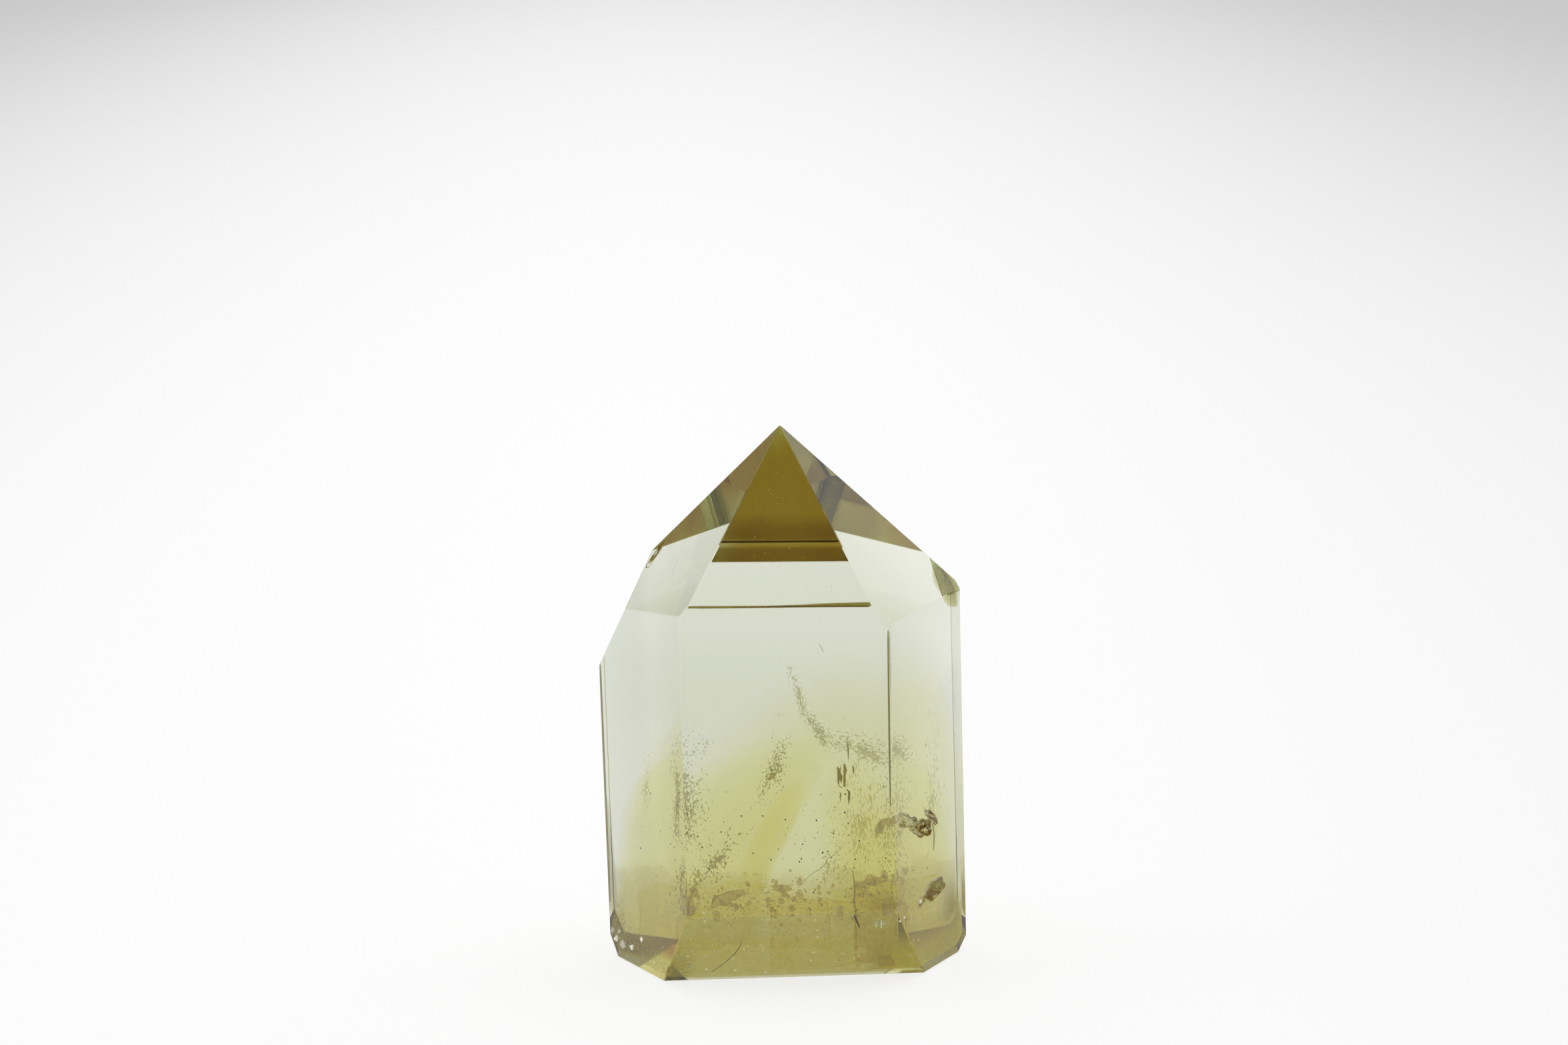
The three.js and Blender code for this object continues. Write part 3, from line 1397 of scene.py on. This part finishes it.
@dataclass
class Thread:
    """A crack seen edge on, a needle, a hair or a line of painted shade: a fine tapered tube along
    a few points.
    """

    name: str
    finish: Finish
    points: list[Triple]
    radius: float
    flat: float = 1.0
    taper: float = 0.35
    sides: int = 6
    steps: int = 7

    def path(self) -> list[Vector]:
        """The smooth line through the points.

        Returns:
            The line, in metres.
        """
        ends = [self.points[0], *self.points, self.points[-1]]
        line = [
            mm(*on_curve(*four, step / self.steps))
            for four in zip(ends, ends[1:], ends[2:], ends[3:]) for step in range(self.steps)]
        return line + [mm(*self.points[-1])]

    def build(self) -> Piece:
        """Makes the thread.

        Returns:
            The thread's object.
        """
        line = self.path()
        last = len(line) - 1
        tube = bmesh.new()
        rings = []
        for i, centre in enumerate(line):
            along = (line[min(i + 1, last)] - line[max(i - 1, 0)]).normalized()
            side = along.cross(Vector((0, 1, 0))).normalized()
            out = side.cross(along)
            bulge = math.sin(math.pi * i / last) ** 0.5
            size = self.radius * MM * (self.taper + (1 - self.taper) * bulge)
            rings.append([
                tube.verts.new(
                    centre + size * (math.cos(a) * side + self.flat * math.sin(a) * out))
                for a in (2 * math.pi * k / self.sides for k in range(self.sides))])
        for near, far in zip(rings, rings[1:]):
            for k in range(self.sides):
                j = (k + 1) % self.sides
                tube.faces.new((near[k], near[j], far[j], far[k]))
        tube.faces.new(rings[0])
        tube.faces.new(rings[-1])
        bmesh.ops.recalc_face_normals(tube, faces=tube.faces)
        return finish_piece(self.name, tube, self.finish.build())


# ------------------------------------------------------------------ studio


@dataclass(frozen=True)
class RoomLight:
    """The room's brightness, from the horizon up to the light tent overhead.

    Each step is the height of a direction, as the sine of its elevation, and how bright it
    is. The front of the room, behind whoever looks at the crystal, is dim.
    """

    name: str = "room"
    steps: tuple[Pair, ...] = (
        (-0.1, 0.80), (0.05, 0.72), (0.25, 0.42), (0.5, 0.5), (0.72, 1.15), (1.0, 1.3))
    front_dim: float = 0.12
    front_from: float = -0.1
    front_full: float = -0.5

    def build(self) -> bpy.types.World:
        """Makes the room's world.

        Returns:
            The world.
        """
        world = bpy.data.worlds.new(self.name)
        world.use_nodes = True
        nodes = Nodes(world.node_tree)
        sky = nodes.tree.nodes["Background"]
        _, away, up = nodes.axes(nodes.add("TexCoord").outputs["Generated"])
        height = nodes.add("MapRange", Value=up, From_Min=-1.0, From_Max=1.0)
        ramp = nodes.add("ValToRGB", Fac=height.outputs[0])
        brightest = max(light for _, light in self.steps)
        stops = ramp.color_ramp.elements
        for i, (sine, light) in enumerate(self.steps):
            place = (sine + 1) / 2
            stop = stops[i] if i < 2 else stops.new(place)
            stop.position = place
            stop.color = (*(light / brightest,) * 3, 1)
        front = nodes.add(
            "MapRange", Value=away, From_Min=self.front_full, From_Max=self.front_from,
            To_Min=self.front_dim * brightest, To_Max=brightest)
        nodes.feed(sky.inputs["Color"], ramp.outputs[0])
        nodes.feed(sky.inputs["Strength"], front.outputs[0])
        return world


@dataclass
class Studio:
    """A bright floor, even soft light and the camera."""

    paper: PaperFinish = PaperFinish()
    floor_radius: float = 4.0
    floor_gap: float = 0.0001
    floor_sides: int = 96
    room: RoomLight = RoomLight()
    panel_at: Triple = (450.0, 300.0, 300.0)
    panel_size: float = 0.34
    panel_power: float = 0.24
    lens: float = 79.6
    sensor: float = 36.0
    nearest: float = 0.01
    eye: Triple = (-5.64, -317.49, 107.8)
    heading: float = 1.131
    dip: float = 11.671
    roll: float = -1.329
    bounces: dict[str, int] = field(default_factory=lambda: {
        "max_bounces": 32, "transmission_bounces": 32, "glossy_bounces": 16,
        "diffuse_bounces": 4, "transparent_max_bounces": 128, "volume_bounces": 8})

    def floor(self) -> None:
        """Lays the floor."""
        disc = bmesh.new()
        bmesh.ops.create_circle(
            disc, cap_ends=True, segments=self.floor_sides, radius=self.floor_radius)
        bmesh.ops.translate(disc, verts=disc.verts, vec=(0, 0, -self.floor_gap))
        mesh = as_mesh("floor", disc)
        mesh.materials.append(self.paper.build())
        floor = add_object("floor", mesh)

    def light(self) -> None:
        """Fills the room with even soft light, and adds a soft panel on the right."""
        bpy.context.scene.world = self.room.build()
        lamp = bpy.data.lights.new("panel", "AREA")
        lamp.shape = "DISK"
        lamp.size = self.panel_size
        lamp.energy = self.panel_power
        place = mm(*self.panel_at)
        facing = place.to_track_quat("Z", "Y").to_matrix().to_4x4()
        add_object("panel", lamp).matrix_world = Matrix.Translation(place) @ facing

    def camera(self) -> None:
        """Sets up the camera."""
        data = bpy.data.cameras.new("camera")
        data.lens = self.lens
        data.sensor_width = self.sensor
        data.clip_start = self.nearest
        eye = add_object("camera", data)
        turn = (
            Matrix.Rotation(math.radians(-self.heading), 4, "Z")
            @ Matrix.Rotation(math.radians(90 - self.dip), 4, "X")
            @ Matrix.Rotation(math.radians(self.roll), 4, "Z"))
        eye.matrix_world = Matrix.Translation(mm(*self.eye)) @ turn
        bpy.context.scene.camera = eye

    def light_paths(self) -> None:
        """Lets light run long enough through the clear body, with true display colours."""
        scene = bpy.context.scene
        scene.view_settings.view_transform = "Standard"
        scene.cycles.blur_glossy = 0.0
        for name, count in self.bounces.items():
            setattr(scene.cycles, name, count)

    def build(self) -> None:
        """Builds the whole studio."""
        self.floor()
        self.light()
        self.camera()
        self.light_paths()


# ------------------------------------------------------------------ what goes where


def colour_zones() -> list[ColourZone]:
    """The yellow growth zones, from the widest to the narrowest, and the smoky zones.

    Returns:
        The zones.
    """
    yellow = Absorption(1.8, 2.4, 10.6)  # one share of the yellow
    smoky = {"half_depth": 14.0, "fade": 1.0}

    def zone(name: str, tint: Absorption, core: Pair, *outline: Pair, **sizes: float) -> ColourZone:
        """One zone with a finish of its own."""
        return ColourZone(name, ZoneFinish(f"{name}_tint", tint), list(outline), core, **sizes)

    return [
        zone("zone_wide", yellow.times(2.15), (2, 5), (-17, 4), (-11.5, 19), (-5, 25),
             (1.5, 29.5), (8, 30.5), (14, 27.5), (17, 17), (16.5, -8), (-18, -8)),
        zone("zone_left", yellow.times(1.75), (-4.5, 10), (-15.4, 8), (-12.6, 16.4),
             (-7.0, 20.6), (0.0, 23.4), (4.6, 23.0), (4.0, 19.8), (1.3, 15), (-0.4, 11.7),
             (-1.7, 8.5), (-2.6, 4.5), (-6, 1.5), (-14, 1.5)),
        zone("zone_left_heart", yellow.times(2.2), (-1.6, 12.6), (2.3, 18.5), (1.4, 15.4),
             (0.2, 12.6), (-1.0, 10.2), (-2.4, 7.4), (-4.8, 7.0), (-4.6, 9.6), (-2.6, 13.6),
             (0.2, 17.6), half_depth=9.0),
        zone("zone_right", yellow.times(1.65), (8.5, 8), (3.0, 13), (3.4, 18), (6.0, 20.6),
             (9.4, 18.6), (12.6, 14), (14, 6), (13.4, 1.5), (4.2, 1.5), (3.4, 6)),
        zone("zone_right_heart", yellow.times(2.0), (8.6, 8.6), (4.2, 8), (5.2, 13),
             (8.6, 15.8), (12, 12.6), (13.5, 8), (11.5, 4), (6.6, 4.4), half_depth=9.0),
        zone("smoky_body", Absorption(5.4, 5.0, 7.0), (0, 5), (-24, 22), (-15, 32), (0, 33),
             (14, 31), (21, 22), (20, -8), (-24, -8), **smoky),
        zone("smoky_left", Absorption(15.0, 14.0, 17.0), (-18, 14), (-24, 42), (-12.5, 42),
             (-11, 20), (-10.5, 8), (-12, -6), (-24, -6), **smoky),
        zone("smoky_right", Absorption(13.0, 12.0, 8.0), (18, 10), (24, 26), (14, 28),
             (12.5, 20), (12, 8), (13, -6), (24, -6), **smoky),
        zone("smoky_corner", Absorption(138, 152, 340), (15.6, 35.4), (13.4, 36.6),
             (13.8, 34.6), (15.6, 33.4), (18, 34.6), (16.5, 39), half_depth=5.5, depth=3.5,
             fade=0.6),
        zone("smoky_edge", Absorption(480, 520, 800), (-17.2, 9.0), (-18, 16.5), (-16.6, 16),
             (-16.1, 12), (-16.0, 4.4), (-18, 4.2), half_depth=2.6, depth=1.2, fade=1.0),
    ]


def foot_clouds() -> list[FootCloud]:
    """The smoky wedge along the back, the foot's olive depth, its haze and its milk.

    Returns:
        The clouds.
    """

    def depth(name: str, tint: Absorption, top: float, **sizes: float) -> FootCloud:
        """One cloud that only tints, with a finish of its own."""
        return FootCloud(name, ZoneFinish(f"{name}_tint", tint), top, **sizes)

    left = CloudFinish(
        "cloud_left_milk", least_milk=0.15, most_milk=0.8, milk=(0.84, 0.76, 0.06),
        through=0.7, olive=(0.84, 0.8, 0.42), solid_below=2.2, clear_above=4.6, shift=2.0,
        corners=Corners.LEFT, corner_from=8.0)
    right = CloudFinish(
        "cloud_right_milk", least_milk=0.8, most_milk=1.0, milk=(0.92, 0.82, 0.1),
        through=0.6, solid_below=2.4, clear_above=5.6, shift=9.0, corners=Corners.RIGHT)
    return [
        depth("smoky_back", Absorption(68, 86, 140), -41.0, climb=5.0, ceiling=7.2, wave=1.1,
              seed=21.0),
        depth("foot_upper", Absorption(1.0, 2.5, 14), 8.4),
        depth("foot_lower", Absorption(0.3, 1.6, 26), 4.8, seed=3.0),
        FootCloud("foot_haze", HazeFinish("foot_haze", density=20), 7.8, seed=7.0),
        FootCloud("cloud_left", left, 9.0, deeper=0.1, seed=19.0),
        FootCloud("cloud_right", right, 9.0, deeper=0.2, seed=17.0),
    ]


SPECKS = ShardFinish(
    "dark_specks", passed=(0.45, 0.42, 0.25), body=(0.3, 0.26, 0.12), solid=0.25)
# also the finish of the band of painted shade under the shoulder
OLIVE = ShardFinish(
    "olive_slivers_and_edge_shade", passed=(0.68, 0.63, 0.32), body=(0.5, 0.42, 0.12), solid=0.3)
STREAKS = ShardFinish(
    "olive_streaks", passed=(0.7, 0.67, 0.48), body=(0.45, 0.4, 0.22), solid=0.2)
FLAKES = ShardFinish(
    "olive_flakes", passed=(0.92, 0.88, 0.7), body=(0.8, 0.7, 0.4), solid=0.18, mirror=0.08)
DUSKY = ShardFinish(
    "dusky_flakes", passed=(0.87, 0.83, 0.6), body=(0.7, 0.62, 0.3), solid=0.15, mirror=0.04)
HOOK = ShardFinish(
    "olive_hook", passed=(0.84, 0.8, 0.55), body=(0.6, 0.52, 0.2), solid=0.2, mirror=0.05)
PALE = ShardFinish(
    "pale_flecks", passed=(1, 0.98, 0.88), body=(0.98, 0.92, 0.6), solid=0.25, mirror=0.2,
    roughness=0.4)
GLINTS = ShardFinish(
    "bright_glints", passed=(1, 1, 1), body=(1, 0.95, 0.55), solid=1.0, mirror=0.7,
    roughness=0.1)
# painted shade: the dark tint of the lines along the edges
EDGE_SHADE = ShardFinish("edge_shadow", passed=(0.62, 0.58, 0.38), body=(0.3, 0.26, 0.12), solid=0.15)
BROWN = ShardFinish("brown_needle", passed=(0.2, 0.1, 0.03), body=(0.12, 0.05, 0.01), solid=0.7)
LINT = ShardFinish("lint", passed=(0.6, 0.57, 0.5), body=(0.4, 0.37, 0.3), solid=0.6)


def veils() -> list[Veil]:
    """The veils of specks, flakes and glints, from the top down.

    Returns:
        The veils.
    """
    point = [(-4.6, 38.0), (4.8, 38.0), (0.2, 49.5)]
    low_body = [(-10.0, 15.0), (-3.0, 14.0), (3.0, 18.0), (10.3, 18.0), (10.3, 8.0),
                (-10.0, 8.0)]
    cloud_rim = [(-10.2, 10.8), (-4.0, 10.0), (1.0, 9.6), (6.0, 9.4), (10.2, 11.6),
                 (10.2, 7.2), (-10.2, 7.0)]
    foot = [(-15.0, 9.0), (15.0, 9.0), (15.5, 3.0), (12.0, 0.4), (-11.5, 0.4), (-15.5, 3.0)]
    return [
        Veil("point_dust", PALE, Habit.SPECK, point, -8.0, 0.5, (0.05, 0.13), slope=0.587,
             strewn=0.3, seed=29),
        Veil("strewn_specks", SPECKS, Habit.SPECK, low_body, -3.0, 1.2, (0.1, 0.25),
             strewn=4.0, clump_size=2.6, clump_share=0.7, seed=21),
        Veil("rim_flakes", FLAKES, Habit.FLAKE, cloud_rim, -8.4, 5.0, (0.15, 1.0), strewn=0.8,
             tumble=(30, 60, 30), clump_size=1.6, clump_share=0.6, ragged=0.3, detail=2,
             seed=22),
        Veil("foot_flakes", PALE, Habit.FLAKE, foot, -6.0, 4.0, (0.12, 0.55), strewn=2.5,
             lean=(38, 0, 0), tumble=(28, 80, 28), clump_size=2.2, clump_share=0.7,
             ragged=0.25, seed=23),
        Veil("foot_glints", GLINTS, Habit.FLAKE, foot, -8.4, 1.4, (0.1, 0.35),
             lean=(24, 0, 0), tumble=(16, 60, 16), strewn=2.0, clump_size=2.0,
             clump_share=0.5, seed=25),
    ]


def cloud_sheets() -> list[Fracture]:
    """The foot's olive sheets: each has a ragged top line and reaches down to the base.

    Returns:
        The sheets.
    """
    plain = CloudFinish(
        "cloud_sheet", olive=(0.98, 0.95, 0.78), most_milk=0.04, solid_below=20.0,
        clear_above=30.0, patch_size=1.1, shift=2.0)
    dusky = CloudFinish(
        "dusky_sheet", olive=(0.92, 0.86, 0.7), most_milk=0.04, solid_below=20.0,
        clear_above=30.0, patch_size=0.8, shift=4.0)
    base = 0.8
    tops = [
        (plain, -9.0, [(-10.2, 7.0), (-7.6, 7.8), (-5.4, 7.0), (-4.2, 7.6), (-2.0, 9.0),
                       (0.4, 9.1), (2.2, 8.4), (3.8, 8.6)]),
        (plain, -7.0, [(-1.6, 8.2), (1.6, 8.7), (5.4, 7.4), (7.4, 7.8), (10.2, 7.4)]),
        (dusky, -7.4, [(6.2, 9.4), (6.8, 9.9), (8.0, 10.3), (9.9, 9.9)]),
        (plain, 0.0, [(-12.4, 7.4), (-4.0, 8.8), (2.0, 7.8), (12.6, 8.0)]),
    ]
    return [
        Fracture(
            f"cloud_sheet_{i}", finish, [*top, (top[-1][0], base), (top[0][0], base)], depth,
            ragged=0.5, rag_size=0.9, cell=0.16, buckle=0.8, seed=10.0 + i)
        for i, (finish, depth, top) in enumerate(tops)]


def grain_sheets() -> list[GrainSheet]:
    """The veils of fine dark grains, from the left to the right.

    Returns:
        The sheets.
    """

    def sheet(name: str, centre: Triple, half: Pair, turn: float, crowding: float,
              passed: Triple = (0.7, 0.68, 0.56), grain: Pair = (0.2, 0.3)) -> GrainSheet:
        """One sheet with a finish of its own."""
        finish = GrainFinish(f"{name}_grain", passed, grain, crowding=crowding)
        return GrainSheet(name, finish, centre, half, turn)

    return [
        sheet("grain_left_side", (-11.6, -3.0, 18.6), (0.9, 5.6), 0, 0.28, (0.88, 0.87, 0.78)),
        sheet("grain_left_edge", (-9.2, -9.0, 19.0), (0.9, 6.8), 0, 0.36, (0.76, 0.74, 0.64)),
        sheet("grain_left_band", (-8.4, -7.5, 18.0), (2.2, 8.0), 1.3, 0.24, (0.76, 0.74, 0.64)),
        sheet("grain_left_low", (-8.1, -8.0, 11.4), (2.2, 3.4), 12, 0.22, (0.8, 0.77, 0.62)),
        sheet("grain_cluster", (-6.0, -7.0, 12.6), (1.4, 4.6), 28, 0.3),
        sheet("grain_middle", (-0.8, -4.0, 20.6), (1.6, 5.0), 16, 0.32, grain=(0.14, 0.26)),
        sheet("grain_wisp", (1.4, -6.0, 28.0), (0.7, 4.6), -18, 0.36, (0.8, 0.79, 0.7),
              (0.12, 0.4)),
        sheet("grain_wisp_bend", (3.1, -6.0, 24.5), (1.1, 3.2), -36, 0.38, (0.76, 0.75, 0.66),
              (0.13, 0.3)),
        sheet("grain_wisp_spread", (6.9, -5.0, 22.2), (1.9, 5.0), -74, 0.34, (0.8, 0.78, 0.7),
              (0.14, 0.34)),
        sheet("grain_right_front", (7.4, -6.0, 16.0), (3.8, 9.8), 0, 0.24, (0.86, 0.83, 0.7),
              (0.13, 0.5)),
        sheet("grain_right_edge", (9.6, -8.6, 15.6), (1.7, 8.8), 0, 0.26, (0.82, 0.79, 0.66),
              (0.13, 0.36)),
        sheet("grain_right_side", (12.4, -2.0, 16.4), (2.8, 9.8), -2, 0.24, (0.84, 0.82, 0.72),
              (0.13, 0.5)),
        sheet("grain_window", (4.6, -3.0, 11.6), (2.2, 4.2), 10, 0.24, (0.84, 0.82, 0.7),
              (0.2, 0.24)),
    ]


def slivers() -> list[Fracture]:
    """The upright olive slivers with pointed tips.

    Returns:
        The slivers, each a little deeper than the one before.
    """
    outlines = [
        [(4.82, 21.0), (5.07, 20.74), (5.19, 21.13), (5.16, 20.35), (5.07, 19.69),
         (4.91, 18.98), (4.82, 19.69)],
        [(5.82, 23.28), (5.92, 23.22), (5.95, 22.37), (5.88, 21.19), (5.82, 22.24)],
        [(5.44, 21.13), (5.63, 21.0), (5.76, 20.48), (5.63, 19.96), (5.57, 18.85),
         (5.38, 18.85), (5.44, 19.89)],
        [(6.26, 20.87), (6.45, 20.67), (6.39, 20.02), (6.29, 20.15)],
        [(5.82, 18.46), (6.04, 18.26), (6.01, 17.61), (5.85, 16.89), (5.79, 17.61)],
        [(5.07, 18.26), (5.22, 17.93), (5.1, 17.28), (5.04, 17.74)],
        [(5.13, 20.09), (5.38, 19.69), (5.26, 18.98), (5.1, 19.3)],
    ]
    return [
        Fracture(
            f"sliver_{i}", OLIVE, outline, -7.5 + 0.3 * i, ragged=0.03, rag_size=0.3, cell=0.1,
            seed=40.0 + i)
        for i, outline in enumerate(outlines)]


def flake(name: str, seed: float, depth: float, *outline: Pair, finish: Finish = DUSKY,
          **sizes: object) -> Fracture:
    """One small flake with a finely ragged rim."""
    fine = {"ragged": 0.2, "rag_size": 0.35, "cell": 0.08, **sizes}
    return Fracture(name, finish, list(outline), depth, seed=seed, **fine)


def glint(name: str, seed: float, depth: float, slope: Pair, *outline: Pair,
          **sizes: float) -> Fracture:
    """One bright glint, which leans so that it catches the light."""
    fine = {"ragged": 0.1, "rag_size": 0.3, "cell": 0.1, **sizes}
    return flake(name, seed, depth, *outline, finish=GLINTS, slope=slope, **fine)


def fractures() -> list[Fracture]:
    """The ragged breaks at the top of the foot, the glints and the painted shadow under the
    shoulder.

    Returns:
        The breaks.
    """
    corner = [  # the seed, the depth, the slope and the outline of each glint in the left corner
        (51, -19.76, (-1.20, 0.60), (-16.9, 2.2), (-16.5, 2.6), (-16.3, 2.4), (-16.6, 2.0)),
        (52, -19.29, (-1.15, 0.55), (-16.1, 2.4), (-15.8, 2.8), (-15.7, 2.6), (-15.9, 2.3)),
        (53, -19.70, (-1.20, 0.60), (-16.0, 1.3), (-15.5, 1.9), (-15.2, 1.5), (-15.6, 1.0)),
        (54, -22.31, (-1.25, 0.62), (-13.9, 2.9), (-13.6, 3.3), (-13.5, 3.1), (-13.7, 2.7)),
        (60, -19.60, (-1.20, 0.60), (-16.6, 1.6), (-16.1, 2.1), (-15.9, 1.9), (-16.2, 1.4)),
        (61, -18.67, (-1.10, 0.50), (-15.0, 1.6), (-14.6, 2.0), (-14.4, 1.8), (-14.7, 1.4)),
    ]
    low = (0, 0.38)  # the slope of the glints at the front of the foot
    return [
        flake("flake_left", 1, -9.0, (-7.0, 9.2), (-4.2, 9.7), (-3.8, 9.3), (-4.6, 8.9),
              (-5.6, 8.3), (-6.3, 8.2), (-7.4, 7.8), (-6.8, 8.6), (-6.3, 9.0), ragged=0.3),
        flake("feather_stem", 2, -10.0, (-8.5, 10.7), (-8.3, 10.6), (-8.9, 9.0), (-9.2, 9.1),
              ragged=0.12, rag_size=0.3),
        flake("feather", 3, -9.8, (-9.3, 9.2), (-8.95, 9.3), (-8.7, 8.4), (-8.85, 7.4),
              (-9.2, 7.2), ragged=0.3, rag_size=0.4),
        flake("flake_middle", 4, -9.0, (-1.6, 9.9), (0.2, 10.0), (0.4, 9.4), (-0.6, 9.2),
              (-1.2, 9.5)),
        flake("flake_right", 5, -9.0, (6.2, 10.2), (6.8, 10.0), (7.6, 10.8), (8.6, 10.3),
              (9.3, 10.2), (8.2, 9.5), (7.4, 9.7), (6.6, 9.1)),
        flake("gouge_olive", 31, -10.6, (8.1, 15.4), (8.7, 16.3), (10.0, 16.5), (9.9, 15.9),
              (9.6, 15.6), (9.1, 15.8), (8.8, 15.0), (8.2, 14.9), finish=HOOK, ragged=0.15,
              rag_size=0.3),
        *(glint(f"corner_glint_{i}", *row) for i, row in enumerate(corner)),
        glint("pit_glint", 59, -25.15, (1.12, 0.60), (12.1, 7.0), (12.6, 7.6), (12.9, 7.7),
              (12.7, 7.2), (12.5, 6.9)),
        glint("low_glint_0", 55, -8.25, low, (-9.6, 1.9), (-9.2, 2.1), (-9.1, 1.5),
              (-9.5, 1.4), ragged=0.08, cell=0.08),
        glint("low_glint_1", 56, -7.7, low, (-10.4, 1.3), (-9.9, 1.3), (-10.2, 0.9),
              ragged=0.08, cell=0.08),
        glint("foot_glint", 57, -12.2, low, (7.8, 6.3), (8.6, 6.6), (9.2, 6.2), (8.6, 5.7),
              (8.1, 5.9), ragged=0.25, rag_size=0.25, cell=0.06),
        # painted shade: a thin dark olive band just under the front top edge, with the slivers'
        # finish
        Fracture("edge_shade_band", OLIVE, [(-8.2, 36.76), (7.95, 36.8), (8.05, 36.46), (4.0, 36.56)],
                 -10.93, ragged=0.01, cell=0.4, buckle=0.0, seed=58.0),
        flake("olive_fleck", 7, -5.0, (-1.7, 19.3), (-1.0, 19.6), (-0.7, 20.2), (-1.3, 20.0),
              ragged=0.15, rag_size=0.3),
    ]


def threads() -> list[Thread]:
    """The cracks seen edge on, the brown needle, the scratches, the hair of lint and two dark lines
    of painted shade along the edges.

    Returns:
        The threads.
    """
    return [
        Thread("crack_curved", SPECKS, [
            (-4.4, -9.3, 4.7), (-4.6, -8.9, 3.9), (-5.2, -8.3, 2.9), (-6.4, -7.6, 1.7),
            (-7.3, -7.0, 0.9)], 0.035),
        Thread("crack_upright", STREAKS, [
            (6.0, -9.6, 11.4), (6.2, -9.7, 9.6), (6.1, -9.5, 8.2), (6.4, -9.4, 7.0)], 0.05,
            flat=2.0),
        Thread("brown_needle", BROWN, [(6.1, -9.4, 7.3), (6.3, -9.3, 6.6), (6.6, -9.2, 5.7)],
               0.09),
        Thread("long_streak", STREAKS, [
            (13.3, -4.2, 14.0), (13.5, -4.1, 12.6), (13.4, -4.2, 11.2)], 0.13, flat=0.4),
        Thread("scratch_right", STREAKS, [(8.4, -11.1, 19.2), (9.4, -11.1, 19.6)], 0.02),
        Thread("scratch_high", STREAKS, [
            (3.3, -10.9, 33.2), (3.6, -10.9, 32.7), (3.7, -10.9, 32.4)], 0.025),
        # painted shade: dark threads just inside the left edge and the front-right edge, where
        # these edges look dark
        Thread("edge_shade_left", EDGE_SHADE, [
            (-16.93, 1.74, 28.6), (-16.86, 1.7, 16.0), (-16.78, 1.62, 5.2)], 0.2, taper=0.6),
        Thread("edge_shade_front", EDGE_SHADE, [
            (9.62, -10.9, 34.2), (9.6, -10.9, 26.0), (9.58, -10.85, 17.5)], 0.09),
        Thread("lint_hair", LINT, [
            (0.9, -11.28, 10.1), (2.1, -11.28, 11.3), (3.2, -11.28, 12.0), (3.8, -11.29, 12.9),
            (4.5, -11.3, 13.2)], 0.02, taper=0.8),
    ]


# ------------------------------------------------------------------ main


def main() -> None:
    """Builds everything in order."""
    logging.basicConfig(level=logging.INFO, format="%(name)s: %(message)s")
    noise.seed_set(NOISE_SEED)
    crystal = Crystal()
    crystal.find_faces()
    crystal.dress()
    Underside().build(crystal)
    for body in colour_zones() + foot_clouds():
        body.build(crystal)
    HollowLining().build(crystal)
    nodes = ShardNodes()
    nodes.build()
    for veil in veils():
        veil.build(crystal, nodes)
    for plate in cloud_sheets() + grain_sheets() + slivers() + fractures():
        plate.build(crystal)
    for thread in threads():
        thread.build()
    Studio().build()


if __name__ == "__main__":
    main()
